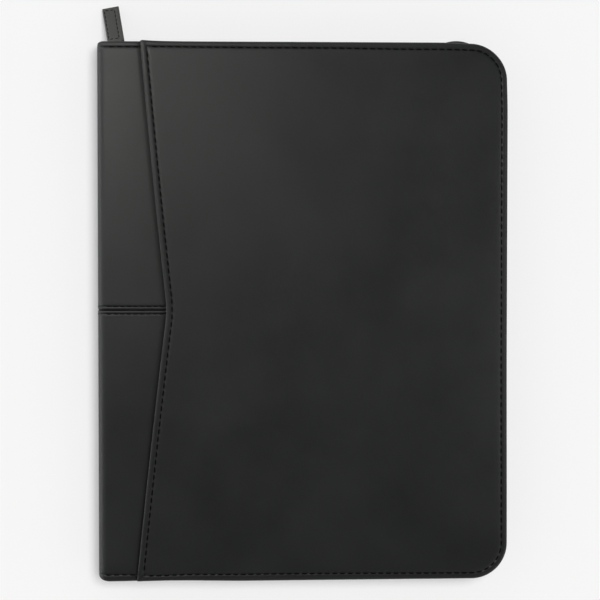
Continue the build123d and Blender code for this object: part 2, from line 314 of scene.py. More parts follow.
# Rows of the face: distance in from the edge, then from the fold of the lap.
face_rows = (
    (0.12, 0.0),
    (0.4, 0.06),
    (0.9, 0.3),
    (1.6, 0.8),
    (2.5, 1.6),
    (3.25, 2.7),
    (3.55, 3.35),
    (3.8, 3.7),
    (4.05, 4.05),
    (4.4, 4.7),
    (5.2, 6.0),
    (6.5, 8.5),
    (8.8, 12.0),
    (12.0, 16.0),
    (18.0, 22.0),
)
# Painted shade of the sewn grooves: its half width here, and shade_between, its share left between
# two stitches.
groove_half = 0.9
pucker_depth = 0.12
pucker_inside = 2.6
pucker_outside = 0.7
shade_between = 0.2
edge_stitch = 3.8
lap_stitch = 3.7
groove_row = len(turned_rows) + [row[0] for row in face_rows].index(edge_stitch)
# Depth below the face at distances in from the sewn edge, then from the fold of the lap.
edge_dip = (
    (0.02, 2.4),
    (0.12, 1.7),
    (0.4, 1.1),
    (0.9, 0.66),
    (1.6, 0.42),
    (2.5, 0.36),
    (3.25, 0.42),
    (3.55, 0.58),
    (3.8, 0.70),
    (4.05, 0.58),
    (4.4, 0.36),
    (5.2, 0.18),
    (6.5, 0.07),
    (8.8, 0.0),
    (12.0, -0.05),
    (18.0, -0.08),
)
lap_dip = (
    (0.0, 0.42),
    (0.06, 0.2),
    (0.3, -0.02),
    (0.8, -0.18),
    (1.6, -0.24),
    (2.7, -0.16),
    (3.35, 0.06),
    (3.7, 0.26),
    (4.05, 0.08),
    (4.7, -0.08),
    (6.0, -0.1),
    (8.5, -0.06),
    (12.0, -0.03),
    (16.0, 0.0),
)


def level(rows, distance):
    """Depth at a distance, read between the rows of a profile, both in millimetres."""
    if distance <= rows[0][0]:
        return rows[0][1]
    for (near, near_depth), (far, far_depth) in zip(rows, rows[1:]):
        if distance <= far:
            share = (distance - near) / (far - near)
            return near_depth + (far_depth - near_depth) * share
    return rows[-1][1]


def lap_line(y):
    """X of the lap's folded edge, which leans out from both ends to its peak at the seam."""
    if y > seam_y:
        along = (y - seam_y) / (edge_top - seam_y)
        end_reach = lap_top_reach
    else:
        along = (seam_y - y) / (seam_y - edge_bottom)
        end_reach = lap_bottom_reach
    reach = lap_peak_reach + (end_reach - lap_peak_reach) * along
    reach -= 4 * lap_bow * along * (1 - along)
    rounding = max(0, lap_round - abs(y - seam_y))
    return spine_face + reach - lap_turn * rounding**2 / (4 * lap_round)


def lap_flare(x, y):
    """How far the doubled lap pushes the turned edge out, near the lap's two ends."""
    past_lap = max(x - lap_line(y), 0)
    fade = math.exp(-past_lap / flare_reach) * min(1, flare_tuck + past_lap / flare_bend)
    if y > 0:
        near = max(0, (y - edge_top + flare_depth) / flare_depth)
        return flare_top * fade * min(near, 1) ** 2
    near = max(0, (edge_bottom + flare_depth - y) / flare_depth)
    return -flare_bottom * fade * min(near, 1) ** 2


def edge_distance(x, y):
    """Distance of a point from the three sewn edges of a cover."""
    past_x = x - corner_x
    past_y = abs(y) - corner_y
    if past_x > 0 and past_y > 0:
        return cover_corner - math.hypot(past_x, past_y)
    return min(edge_right - x, edge_top - abs(y))


def pulled_by(pulls, x, y):
    """The sum of the pulls on a point, each of which fades out over its reach."""
    total = Vector((0, 0, 0))
    for place, pull, reach in pulls:
        away = math.hypot(place.x - x, place.y - y) / reach
        total += pull * max(0, 1 - away**2) ** 2
    return total


def edge_pull(x, y):
    """How far a point of a cover lies out of line, most freely at the sewn row."""
    rows_in = max(0, edge_distance(x, y)) / (edge_stitch * mm)
    row_share = rows_in * math.exp(1 - rows_in)
    return pulled_by(edge_pulls, x, y) + pulled_by(row_drifts, x, y) * row_share


def settle(x, y, z):
    """A point of a panel, moved out by the doubled lap and by the pulls on its edge."""
    return Vector((x, y + lap_flare(x, y), z)) + edge_pull(x, y)


def panel_loop(edge_inset, lap_inset):
    """Points round a panel, anticlockwise from the top end of its lap."""
    right = edge_right - edge_inset
    top = edge_top - edge_inset
    bottom = edge_bottom + edge_inset
    radius = cover_corner - edge_inset
    loop = []
    for step in range(lap_steps):
        y = top + (bottom - top) * step / lap_steps
        loop.append((lap_line(y) + lap_inset, y))
    start = lap_line(bottom) + lap_inset
    for step in range(bottom_steps):
        loop.append((start + (corner_x - start) * step / bottom_steps, bottom))
    for step in range(corner_steps):
        angle = math.radians(90) * (step / corner_steps - 1)
        loop.append((corner_x + radius * math.cos(angle), -corner_y + radius * math.sin(angle)))
    for step in range(right_steps):
        loop.append((right, -corner_y + 2 * corner_y * step / right_steps))
    for step in range(corner_steps):
        angle = math.radians(90) * step / corner_steps
        loop.append((corner_x + radius * math.cos(angle), corner_y + radius * math.sin(angle)))
    end = lap_line(top) + lap_inset
    for step in range(top_steps):
        loop.append((corner_x + (end - corner_x) * step / top_steps, top))
    return loop


def pucker(distance, row, step):
    """Depth of the small dents beside a row of stitches, deepest at the needle holes."""
    reach = pucker_inside if distance > row else pucker_outside
    fade = max(0, 1 - abs(distance - row) / reach)
    return pucker_depth * fade * (0.5 - 0.5 * math.cos(2 * math.pi * step / steps_a_stitch))


def painted_groove_shade(distance, row, step=0):
    """Painted shade of a sewn groove at a distance from an edge, least between two stitches."""
    between = step % steps_a_stitch == steps_a_stitch // 2
    fade = math.exp(-(((distance - row) / groove_half) ** 2))
    return fade * (shade_between if between else 1.0)


def new_piece(name, points, faces):
    """A mesh object at the origin, with its place in its points."""
    mesh = bpy.data.meshes.new(name)
    mesh.from_pydata(points, [], faces)
    piece = bpy.data.objects.new(name, mesh)
    bpy.context.scene.collection.objects.link(piece)
    return piece


def grid_faces(rows, columns, ring=False, tube=False):
    """Faces between rows of points: a ring closes each row, a tube joins the last to the first."""
    faces = []
    for row in range(rows if tube else rows - 1):
        near = row * columns
        far = (row + 1) % rows * columns
        for column in range(columns if ring else columns - 1):
            after = (column + 1) % columns
            faces.append((near + column, near + after, far + after, far + column))
    return faces


def store_painted_shade(piece, painted_shades):
    """Stores the painted shade of the sewn grooves on a mesh's points."""
    groove = piece.data.attributes.new("groove", "FLOAT", "POINT")
    groove.data.foreach_set("value", painted_shades)


def select_only(piece):
    """Makes a piece the active one, and the only one selected."""
    bpy.ops.object.select_all(action="DESELECT")
    bpy.context.view_layer.objects.active = piece
    piece.select_set(True)


def use_modifier(piece, kind, **settings):
    """Adds a modifier to a piece and applies it."""
    modifier = piece.modifiers.new(kind.lower(), kind)
    for setting, value in settings.items():
        setattr(modifier, setting, value)
    select_only(piece)
    bpy.ops.object.modifier_apply(modifier=modifier.name)


def panel_skin(name, face_z, inward):
    """A panel's skin, ring by ring from its turned edge to its field, and its stitch rows."""
    rings = []
    painted_shades = []
    for edge_inset, depth, lap_inset, lap_depth in turned_rows:
        ring = []
        for step, (x, y) in enumerate(panel_loop(edge_inset * mm, lap_inset * mm)):
            under_lap = 0 < step < lap_steps
            edge_drop = level(edge_dip, edge_distance(x, y) / mm)
            drop = lap_depth + edge_drop if under_lap else depth
            if step in (0, lap_steps):
                x = lap_line(y)
            ring.append(settle(x, y, face_z + inward * drop * mm))
            painted_shades.append(0.0)
        rings.append(ring)
    for edge_inset, lap_inset in face_rows:
        ring = []
        for step, (x, y) in enumerate(panel_loop(edge_inset * mm, lap_inset * mm)):
            from_edge = edge_distance(x, y) / mm
            from_lap = (x - lap_line(y)) / mm
            drop = level(edge_dip, from_edge) + level(lap_dip, from_lap)
            sewn = (from_lap, lap_stitch) if step < lap_steps else (from_edge, edge_stitch)
            drop += pucker(*sewn, step)
            ring.append(settle(x, y, face_z + inward * drop * mm))
            # Painted shade along the sewn rows.
            painted_shades.append(painted_groove_shade(*sewn, step))
        rings.append(ring)
    count = len(rings[0])
    faces = grid_faces(len(rings), count, ring=True)
    faces.append(tuple(range((len(rings) - 1) * count, len(rings) * count)))
    piece = new_piece(name, [point for ring in rings for point in ring], faces)
    store_painted_shade(piece, painted_shades)
    if inward > 0:
        piece.data.flip_normals()
    use_modifier(piece, "SOLIDIFY", thickness=leather, offset=-1)
    return piece, rings[groove_row]


def calc(tree, operation, first, second=0.0, third=0.0):
    """The output of one math node."""
    values = {0: first, 1: second, 2: third}
    return add_node(tree, "ShaderNodeMath", values, operation=operation).outputs[0]


def count_cells(tree, place, size):
    """A place counted in cells of a size."""
    values = {0: place, "Scale": calc(tree, "DIVIDE", 1, size)}
    return add_node(tree, "ShaderNodeVectorMath", values, operation="SCALE").outputs["Vector"]


def new_group(name, inputs, outputs):
    """A node group with named sockets, and the ends of its sockets on the inside."""
    group = bpy.data.node_groups.new(name, "ShaderNodeTree")
    for socket, kind in inputs:
        group.interface.new_socket(socket, in_out="INPUT", socket_type=kind)
    for socket in outputs:
        group.interface.new_socket(socket, in_out="OUTPUT", socket_type="NodeSocketFloat")
    given = group.nodes.new("NodeGroupInput").outputs
    made = group.nodes.new("NodeGroupOutput").inputs
    return group, given, made


grain, given, made = new_group(
    "leather_grain",
    (("Vector", "NodeSocketVector"), ("Cell Size", "NodeSocketFloat")),
    ("Tone", "Roughness", "Height"),
)
scaled = count_cells(grain, given["Vector"], given["Cell Size"])
wander = add_node(grain, "ShaderNodeTexNoise", {"Vector": scaled, "Scale": 0.5})
bent = add_node(
    grain,
    "ShaderNodeVectorMath",
    {0: wander.outputs["Color"], 1: (0.9, 0.9, 0.9), 2: scaled},
    operation="MULTIPLY_ADD",
).outputs["Vector"]
pebbles = add_node(
    grain, "ShaderNodeTexVoronoi", {"Vector": bent, "Scale": 1}, feature="DISTANCE_TO_EDGE"
).outputs["Distance"]
creases = map_range(grain, pebbles, stop=0.22, kind="SMOOTHSTEP")
pores = add_node(
    grain, "ShaderNodeTexNoise", {"Vector": scaled, "Scale": 2.6, "Detail": 3}
).outputs["Fac"]
clouds = add_node(
    grain, "ShaderNodeTexNoise", {"Vector": given["Vector"], "Scale": 26, "Detail": 2}
).outputs["Fac"]
grain.links.new(calc(grain, "MULTIPLY_ADD", pores, 0.6, creases), made["Height"])
tone = map_range(grain, calc(grain, "MULTIPLY_ADD", pores, 0.35, clouds), 0.4, 0.95)
grain.links.new(tone, made["Tone"])
grain.links.new(map_range(grain, tone, low=0.40, high=0.50), made["Roughness"])


def leather_material(name, dark, light, cell, depth):
    """Grained leatherette between two colours, its sewn grooves blackened by painted shade."""
    material, tree, shader = new_material(name, {"Specular IOR Level": 0.31})
    values = {"Vector": surface_place(tree), "Cell Size": cell}
    skin = add_node(tree, "ShaderNodeGroup", values, node_tree=grain)
    colour = blend_colours(tree, skin.outputs["Tone"], dark, light)
    # Painted shade: the groove attribute darkens the colour to black in the grooves and beside the
    # lap's fold.
    groove = add_node(tree, "ShaderNodeAttribute", {}, attribute_name="groove").outputs["Fac"]
    groove = map_range(tree, groove, high=0.9)
    colour = blend_colours(tree, groove, colour, (0.0, 0.0, 0.0, 1))
    tree.links.new(colour, shader.inputs["Base Color"])
    tree.links.new(skin.outputs["Roughness"], shader.inputs["Roughness"])
    rough_bump(tree, shader, skin.outputs["Height"], depth, 0.08 * mm)
    return material


leatherette = leather_material(
    "leatherette", (0.0088, 0.0098, 0.0095, 1), (0.0118, 0.0131, 0.0127, 1), 0.62 * mm, 0.35
)
front_panel, front_groove = panel_skin("front_leather", front_face, -1)
back_lift = 0.27 * mm
back_panel, back_groove = panel_skin("back_leather", back_lift, 1)
for panel, body, node in (
    (front_panel, "front_cover", "front_panel"),
    (back_panel, "back_cover", "back_panel"),
):
    finish_piece(panel, leatherette)
    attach(panel, body)
    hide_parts(node)

# Spine wraps: an upper and a lower piece of the same leatherette, seamed together at the
# lap's peak, that run from under one lap round the spine to the other.
fold_radius = 5 * mm
fold_x = spine_face + fold_radius
wrap_face = front_face - 1.05 * mm
spine_middle = front_face / 2
underlap = 6 * mm
spine_corner_top = (2.6 * mm, 1.2 * mm)
spine_corner_bottom = (7 * mm, 2.2 * mm)
front_slope = 1.2 * mm
back_slope = 0.4 * mm
wrap_sink = 0.45 * mm
sink_reach = 1.3 * mm
lap_shade_reach = 1.1 * mm
arc_pull = 0.5523
flat_columns = 26
fold_columns = 12
wall_columns = 6
middle_rows = 44
wrap_edge_reach = 12
# Depth below the wrap's face at distances from its seam.
seam_dip = (
    (0.0, 0.9),
    (0.12, 0.55),
    (0.3, 0.25),
    (0.6, 0.02),
    (1.0, -0.1),
    (1.5, -0.1),
    (1.95, 0.02),
    (2.15, 0.22),
    (2.3, 0.3),
    (2.45, 0.22),
    (2.75, 0.04),
    (3.3, -0.02),
    (4.5, 0.0),
    (6.5, 0.0),
)
seam_stitch = 2.3 * mm
# Rows of the wrap's turned end: distance in from the end and depth below its face, on the
# flat of the cover and then on the upright spine.
wrap_turn = (
    (0.02, 2.2, 0.0, 1.3),
    (0.0, 3.0, 0.0, 1.9),
    (0.05, 3.8, 0.1, 2.5),
    (0.3, 4.35, 0.4, 2.95),
    (0.8, 4.6, 1.0, 3.15),
    (1.4, 4.62, 8.0, 3.15),
)
# Depth below the wrap's face at distances from its end, where it stands upright on the spine.
plain_end = (
    (0.02, 1.0),
    (0.12, 0.7),
    (0.4, 0.4),
    (0.9, 0.18),
    (1.6, 0.08),
    (2.3, 0.04),
    (3.2, 0.02),
    (4.6, 0.0),
)


def wrap_level(x, y, fall):
    """Height of the wrap's flat part, which sinks beside the lap and slopes to the fold."""
    lap = lap_line(y)
    slope = min(1, max(0, (lap - x) / (lap - fold_x)))
    beside = max(0, lap - x) / sink_reach
    return wrap_face - fall * slope**2 - wrap_sink * math.exp(-(beside**2))


def lap_shade(point):
    """Painted shade that darkens the wrap in the corner beside the lap's fold."""
    return math.exp(-((max(0, lap_line(point.y) - point.x) / lap_shade_reach) ** 2))


def wrap_column(column, y, fall):
    """A point of the wrap's outer face, its outward direction and its share on the flat."""
    if column <= flat_columns:
        start = lap_line(y) + underlap
        x = start + (fold_x - start) * column / flat_columns
        return Vector((x, y, wrap_level(x, y, fall))), Vector((0, 0, 1)), 1.0
    fold_top = Vector((fold_x, y, wrap_face - fall))
    fold_end = Vector((spine_face, y, fold_top.z - fold_radius))
    if column <= flat_columns + fold_columns:
        turn = (column - flat_columns) / fold_columns
        lean = 2 * fall / (lap_line(y) - fold_x)
        first_pull = fold_top + Vector((-1, 0, -lean)) * fold_radius * arc_pull
        second_pull = fold_end + Vector((0, 0, 1)) * fold_radius * arc_pull
        rest = 1 - turn
        point = (
            fold_top * rest**3
            + first_pull * 3 * rest**2 * turn
            + second_pull * 3 * rest * turn**2
            + fold_end * turn**3
        )
        along = (
            (first_pull - fold_top) * rest**2
            + (second_pull - first_pull) * 2 * rest * turn
            + (fold_end - second_pull) * turn**2
        )
        return point, Vector((along.z, 0, -along.x)).normalized(), rest
    down = (column - flat_columns - fold_columns) / wall_columns
    middle = Vector((spine_face, y, spine_middle))
    return fold_end + (middle - fold_end) * down, Vector((-1, 0, 0)), 0.0


def wrap_end(x, upward):
    """Y of the wrap's turned end, which rounds off towards the spine's face."""
    reach, depth = spine_corner_top if upward > 0 else spine_corner_bottom
    past = max(0, spine_face + reach - x) / reach
    return upward * (edge_top - depth * (1 - math.sqrt(max(0, 1 - past**2))))


def wrap_skin(name, upward, mirrored):
    """Half a wrap, from under its lap to the middle of the spine."""
    fall = back_slope if mirrored else front_slope
    columns = flat_columns + fold_columns + wall_columns + 1
    end_rows = [row[0] for row in face_rows if row[0] <= wrap_edge_reach][::-1]
    seam_rows = [row[0] for row in seam_dip]
    points = []
    painted_shades = []
    for distance in seam_rows:
        for column in range(columns):
            point, out, _ = wrap_column(column, seam_y + upward * distance * mm, fall)
            points.append(point - out * level(seam_dip, distance) * mm)
            # Painted shade along the seam, its stitch rows and beside the lap's fold.
            sewn = painted_groove_shade(distance, seam_stitch / mm)
            painted_shades.append(max(sewn, painted_groove_shade(distance, 0), lap_shade(point)))
    for row in range(1, middle_rows):
        for column in range(columns):
            start = seam_y + upward * seam_rows[-1] * mm
            x = wrap_column(column, upward * (edge_top - end_rows[0] * mm), fall)[0].x
            end = wrap_end(x, upward) - upward * end_rows[0] * mm
            point = wrap_column(column, start + (end - start) * row / middle_rows, fall)[0]
            points.append(point)
            painted_shades.append(lap_shade(point))
    for distance in end_rows:
        for column in range(columns):
            x = wrap_column(column, upward * edge_top, fall)[0].x
            y = wrap_end(x, upward) - upward * distance * mm
            point, out, flat = wrap_column(column, y, fall)
            drop = level(edge_dip, distance) * flat + level(plain_end, distance) * (1 - flat)
            points.append(point - out * drop * mm)
            painted_shades.append(max(painted_groove_shade(distance, edge_stitch) * flat, lap_shade(point)))
    for flat_inset, flat_depth, wall_inset, wall_depth in wrap_turn:
        for column in range(columns):
            end, _, flat = wrap_column(column, upward * edge_top, fall)
            inset = flat_inset * flat + wall_inset * (1 - flat)
            drop = flat_depth * flat + wall_depth * (1 - flat)
            y = wrap_end(end.x, upward) - upward * inset * mm
            point, out, _ = wrap_column(column, y, fall)
            points.append(point - out * drop * mm)
            painted_shades.append(0.0)
    points = [point + edge_pull(point.x, point.y) for point in points]
    if mirrored:
        points = [Vector((p.x, p.y, front_face - p.z)) for p in points]
    piece = new_piece(name, points, grid_faces(len(points) // columns, columns))
    store_painted_shade(piece, painted_shades)
    if (upward > 0) != mirrored:
        piece.data.flip_normals()
    use_modifier(piece, "SOLIDIFY", thickness=leather, offset=-1)
    finish_piece(piece, leatherette)
    return piece


# Both wraps, front and back, each in an upper and a lower half, built in place of the CAD wraps
# and spine walls, which are hidden.
for side, upward in (("upper", 1), ("lower", -1)):
    wrap = wrap_skin("front_wrap_" + side, upward, False)
    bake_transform(wrap)
    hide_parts("spine_wrap_front_" + side, "spine_wall_" + side)
    wrap = wrap_skin("back_wrap_" + side, upward, True)
    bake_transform(wrap)
    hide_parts("spine_wrap_back_" + side)

# Topstitching of the covers: black bonded thread in a groove along the turned edges, along
# the laps and on both sides of the spine's seam. Each stitch is a bar, thick in its middle.
stitch_skew = 0.04
stitch_share = (0.46, 0.52)
thread_rise = 0.12 * mm
edge_stitch_start = 3 * mm
edge_stitch_gap = 4.8 * mm
seam_stitch_start = 2.5 * mm
seam_stitch_gap = 4 * mm
spine_stitches = (7.5, 11.5, 15.5, 19.5)
edge_depth = level(edge_dip, edge_stitch) * mm
seam_depth = level(seam_dip, seam_stitch / mm) * mm

round_mesh = bpy.ops.mesh.primitive_uv_sphere_add
stitch_model = start_piece("stitch_model", round_mesh, segments=8, ring_count=6, radius=1)
stitch_points = [vertex.co.copy() for vertex in stitch_model.data.vertices]
stitch_faces = [tuple(face.vertices) for face in stitch_model.data.polygons]
bpy.data.objects.remove(stitch_model)
sewing = random.Random(11)
thread = mottled_material(
    "sewing_thread",
    {"Roughness": 0.9, "Specular IOR Level": 0.03},
    (2600, 2),
    (0.002, 0.002, 0.002, 1),
    (0.007, 0.007, 0.007, 1),
    bump=(0.5, 0.1 * mm),
)


def face_outward(piece):
    """Turns all faces of a closed mesh outward."""
    select_only(piece)
    bpy.ops.object.mode_set(mode="EDIT")
    bpy.ops.mesh.select_all(action="SELECT")
    bpy.ops.mesh.normals_make_consistent(inside=False)
    bpy.ops.object.mode_set(mode="OBJECT")


def sew(name, spots, body, slot, length=3.5, width=1.0, height=0.6):
    """One mesh of stitches, each at its own spot: centre, direction and outward side."""
    points = []
    faces = []
    for centre, along, out in spots:
        along = along.normalized()
        across = out.cross(along).normalized()
        along = along + across * sewing.uniform(-stitch_skew, stitch_skew)
        half_length = along * length * sewing.uniform(*stitch_share) * mm
        half_width = across * width / 2 * mm
        half_height = out.normalized() * height / 2 * mm
        first = len(points)
        for point in stitch_points:
            points.append(
                centre + half_width * point.x + half_height * point.y + half_length * point.z
            )
        for face in stitch_faces:
            faces.append(tuple(first + corner for corner in face))
    row = new_piece(name, points, faces)
    face_outward(row)
    finish_piece(row, thread, 80)
    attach(row, body)
    return row


def wrap_spots(y, start, gap, depth, out, fall):
    """Stitch spots on the flat of a wrap at one height, from beside the lap to the fold."""
    spots = []
    x = lap_line(y) - start
    while x > fold_x:
        z = wrap_level(x, y, fall) - depth + thread_rise
        centre = Vector((x, y, z if out.z > 0 else front_face - z)) + edge_pull(x, y)
        spots.append((centre, Vector((1, 0, 0)), out))
        x -= gap
    return spots


for side, groove, out, fall in (
    ("front", front_groove, Vector((0, 0, 1)), front_slope),
    ("back", back_groove, Vector((0, 0, -1)), back_slope),
):
    spots = []
    count = len(groove)
    for step in range(0, count, steps_a_stitch):
        near_end = min(abs(step - end) for end in (0, lap_steps, count))
        if near_end < steps_a_stitch:
            continue
        along = groove[(step + 1) % count] - groove[step - 1]
        spots.append((groove[step] + out * thread_rise, along, out))
    for upward in (1, -1):
        edge_y = upward * (edge_top - edge_stitch * mm)
        spots += wrap_spots(edge_y, edge_stitch_start, edge_stitch_gap, edge_depth, out, fall)
        row_y = seam_y + upward * seam_stitch
        spots += wrap_spots(row_y, seam_stitch_start, seam_stitch_gap, seam_depth, out, fall)
    sew(side + "_topstitching", spots, side + "_cover", "leatherette")
spots = []
for upward in (1, -1):
    x = spine_face + seam_depth - thread_rise
    y = seam_y + upward * seam_stitch
    for z in spine_stitches:
        spots.append((Vector((x, y, z * mm)), Vector((0, 0, 1)), Vector((-1, 0, 0))))
sew("spine_topstitching", spots, "spine", "leatherette")

# Linings of both covers and the spine: black plain-weave nylon laid on the boards. Two
# gutter strips carry the lining round the folds, so that no raw edge shows when it opens.
weave, given, made = new_group(
    "cloth_weave",
    (
        ("Vector", "NodeSocketVector"),
        ("Thread", "NodeSocketFloat"),
        ("Repeat", "NodeSocketFloat"),
    ),
    ("Tone", "Height"),
)


def thread_round(part):
    """The round of a thread across itself, at a place counted in threads."""
    wave = calc(weave, "SINE", calc(weave, "MULTIPLY", part, math.pi))
    return calc(weave, "ABSOLUTE", wave)


counted = count_cells(weave, given["Vector"], given["Thread"])
parts = add_node(weave, "ShaderNodeSeparateXYZ", {0: counted}).outputs
crossing = calc(
    weave, "ADD", calc(weave, "FLOOR", parts[0]), calc(weave, "FLOOR", parts[1])
)
place_in_repeat = calc(weave, "FLOORED_MODULO", crossing, given["Repeat"])
half_repeat = calc(weave, "MULTIPLY", given["Repeat"], 0.5)
warp_over = calc(weave, "LESS_THAN", place_in_repeat, half_repeat)
weft_over = calc(weave, "SUBTRACT", 1, warp_over)
warp_height = calc(weave, "MULTIPLY", thread_round(parts[0]), warp_over)
height = calc(weave, "MULTIPLY_ADD", thread_round(parts[1]), weft_over, warp_height)
weave.links.new(height, made["Height"])
fuzz = add_node(
    weave, "ShaderNodeTexNoise", {"Vector": counted, "Scale": 0.35, "Detail": 3}
).outputs["Fac"]
tone = calc(weave, "MULTIPLY_ADD", height, 0.5, calc(weave, "MULTIPLY", fuzz, 0.5))
weave.links.new(tone, made["Tone"])


def cloth_material(name, dark, light, thread_gap, repeat, roughness, kind):
    """Woven cloth, its threads laid on the object's own place or on its UV map."""
    material, tree, shader = new_material(
        name, {"Roughness": roughness, "Sheen Weight": 0.15, "Sheen Roughness": 0.5}
    )
    values = {"Vector": surface_place(tree, kind), "Thread": thread_gap, "Repeat": repeat}
    cloth = add_node(tree, "ShaderNodeGroup", values, node_tree=weave)
    colour = blend_colours(tree, cloth.outputs["Tone"], dark, light)
    tree.links.new(colour, shader.inputs["Base Color"])
    rough_bump(tree, shader, cloth.outputs["Height"], 0.6, 0.15 * mm)
    return material


lining_cloth = cloth_material(
    "lining_cloth",
    (0.006, 0.006, 0.0066, 1),
    (0.026, 0.026, 0.028, 1),
    0.42 * mm,
    2,
    0.75,
    "Object",
)
lining_swell = 0.1
lining_edge = ((0.2, lining_swell),)
lining_corner = cover_corner + 2.5 * mm
lining_margin = 0.35 * mm
for node, body, out in (("front_lining", "front_cover", -1), ("back_lining", "back_cover", 1)):
    low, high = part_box(node)
    low.y += lining_margin
    high.y -= lining_margin
    base_z = high.z if out < 0 else low.z
    lining = cut_sheet(node + "_cloth", low, high, base_z, free_corners(lining_corner))
    raise_sheet(lining, out, high.z - low.z - lining_swell * mm, lining_edge)
    finish_piece(lining, lining_cloth)
    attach(lining, body)
    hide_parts(node)


def smooth_line(points, times):
    """A line with its corners cut again and again, its two ends kept."""
    for _ in range(times):
        cut = [points[0]]
        for first, second in zip(points, points[1:]):
            cut.append(first * 0.75 + second * 0.25)
            cut.append(first * 0.25 + second * 0.75)
        cut.append(points[-1])
        points = cut
    return points


def line_runs(line):
    """The length along a line at each of its points."""
    runs = [0.0]
    for first, second in zip(line, line[1:]):
        runs.append(runs[-1] + (second - first).length)
    return runs


def lay_threads(strip, row_runs, column_runs):
    """A UV map in metres, from the lengths at a strip's rows and columns of points."""
    threads = strip.data.uv_layers.new(name="threads")
    for loop in strip.data.loops:
        row, column = divmod(loop.vertex_index, len(column_runs))
        threads.data[loop.index].uv = (row_runs[row], column_runs[column])


def ribbon(name, line, across, rows):
    """A strip swept from a line in equal rows, with a UV map in metres."""
    points = []
    for row in range(rows + 1):
        points += [point + across * row / rows for point in line]
    strip = new_piece(name, points, grid_faces(rows + 1, len(line)))
    row_runs = [across.length * row / rows for row in range(rows + 1)]
    lay_threads(strip, row_runs, line_runs(line))
    return strip


gutter_length = 324 * mm
gutter_thick = 0.35 * mm
gutter_rows = 130
gutter_bend = 6 * mm
gutter_tuck = 2.2 * mm
# Places across and up on the curve from the front cover's lining to the spine's middle.
gutter_line = (
    (-116.0, 21.3),
    (-118.2, 21.25),
    (-120.4, 20.7),
    (-121.7, 19.3),
    (-122.2, 17.0),
    (-122.3, 15.2),
    (-122.3, 13.5),
)
for side in ("front", "back"):
    line = [Vector((x * mm, -gutter_length / 2, z * mm)) for x, z in gutter_line]
    if side == "back":
        for point in line:
            point.z = front_face - point.z
    line = smooth_line(line, 2)
    strip = ribbon("gutter_lining_" + side, line, Vector((0, gutter_length, 0)), gutter_rows)
    tuck = Vector((-1, 0, 1 if side == "front" else -1)).normalized() * gutter_tuck
    for vertex in strip.data.vertices:
        past = max(0, abs(vertex.co.y) - gutter_length / 2 + gutter_bend) / gutter_bend
        vertex.co += tuck * past**2
    if side == "front":
        strip.data.flip_normals()
    use_modifier(strip, "SOLIDIFY", thickness=gutter_thick, offset=-1)
    finish_piece(strip, lining_cloth)
    if side == "front":
        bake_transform(strip)
        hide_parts("spine_lining")
    else:
        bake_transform(strip)

# Pockets: panels of thinner leatherette with a turned hem, sewn to the linings on three
# sides. The large ones hold papers and the pad's card back, the tiers hold cards.
pocket_leather = leather_material(
    "pocket_leatherette", (0.013, 0.0138, 0.0138, 1), (0.020, 0.021, 0.021, 1), 0.8 * mm, 0.5
)
# Steps in from a pocket's edge, each with its rise: the rolled edge and the sewn groove.
pocket_steps = (
    (0.12, 0.18),
    (0.3, 0.12),
    (1.5, 0.0),
    (0.25, -0.14),
    (0.25, 0.14),
)
pocket_stitch = 2.17 * mm
pocket_stitch_gap = 3.6 * mm
pocket_sink = 0.06 * mm
pocket_corner = 3 * mm
document_corner = 12.2 * mm
least_bend = 0.5 * mm
bend_steps = 8
row_end = 1 * mm
hem_end = 4 * mm
fine_stitch = (2.6, 0.55, 0.42)


def spots_along(points, gap, out):
    """Stitch spots at equal gaps along a line of points."""
    spots = []
    left = gap / 2
    for first, second in zip(points, points[1:]):
        span = second - first
        while left <= span.length and span.length > 0:
            spots.append((first + span.normalized() * left, span, out))
            left += gap
        left -= span.length
    return spots


def sewn_sides(low, high, inset, radius, z):
    """The line of stitches down one side of a pocket, along its foot and up the other."""
    left = low.x + inset
    right = high.x - inset
    foot = low.y + inset
    bend = max(radius - inset, least_bend)
    line = [Vector((left, high.y - row_end, z))]
    for centre_x, turn in ((left + bend, 180), (right - bend, 270)):
        for step in range(bend_steps + 1):
            angle = math.radians(turn + 90 * step / bend_steps)
            x = centre_x + bend * math.cos(angle)
            line.append(Vector((x, foot + bend + bend * math.sin(angle), z)))
    line.append(Vector((right, high.y - row_end, z)))
    return line


for node, body, out, radius in (
    ("document_pocket", "front_cover", -1, document_corner),
    ("card_pocket_1", "front_cover", -1, pocket_corner),
    ("card_pocket_2", "front_cover", -1, pocket_corner),
    ("card_pocket_3", "front_cover", -1, pocket_corner),
    ("pad_pocket", "back_cover", 1, pocket_corner),
):
    low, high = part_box(node)
    base_z = low.z if out > 0 else high.z
    face_z = high.z if out > 0 else low.z
    corners = ((-1, -1, radius), (1, -1, radius))
    pocket = cut_sheet(node + "_panel", low, high, base_z, corners)
    rolled = sum(rise for _, rise in pocket_steps[:2]) * mm
    raise_sheet(pocket, out, abs(face_z - base_z) - rolled, pocket_steps)
    finish_piece(pocket, pocket_leather)
    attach(pocket, body)
    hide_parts(node)
    outward = Vector((0, 0, out))
    thread_z = face_z - out * pocket_sink
    row = sewn_sides(low, high, pocket_stitch, radius, thread_z)
    hem = [
        Vector((low.x + hem_end, high.y - pocket_stitch, thread_z)),
        Vector((high.x - hem_end, high.y - pocket_stitch, thread_z)),
    ]
    spots = spots_along(row, pocket_stitch_gap, outward)
    spots += spots_along(hem, pocket_stitch_gap, outward)
    sew(node + "_stitching", spots, body, "pocket_leatherette", *fine_stitch)

# Window pocket: a leatherette frame sewn on the document pocket, with a clear vinyl film
# behind its opening.
low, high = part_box("id_window_frame")
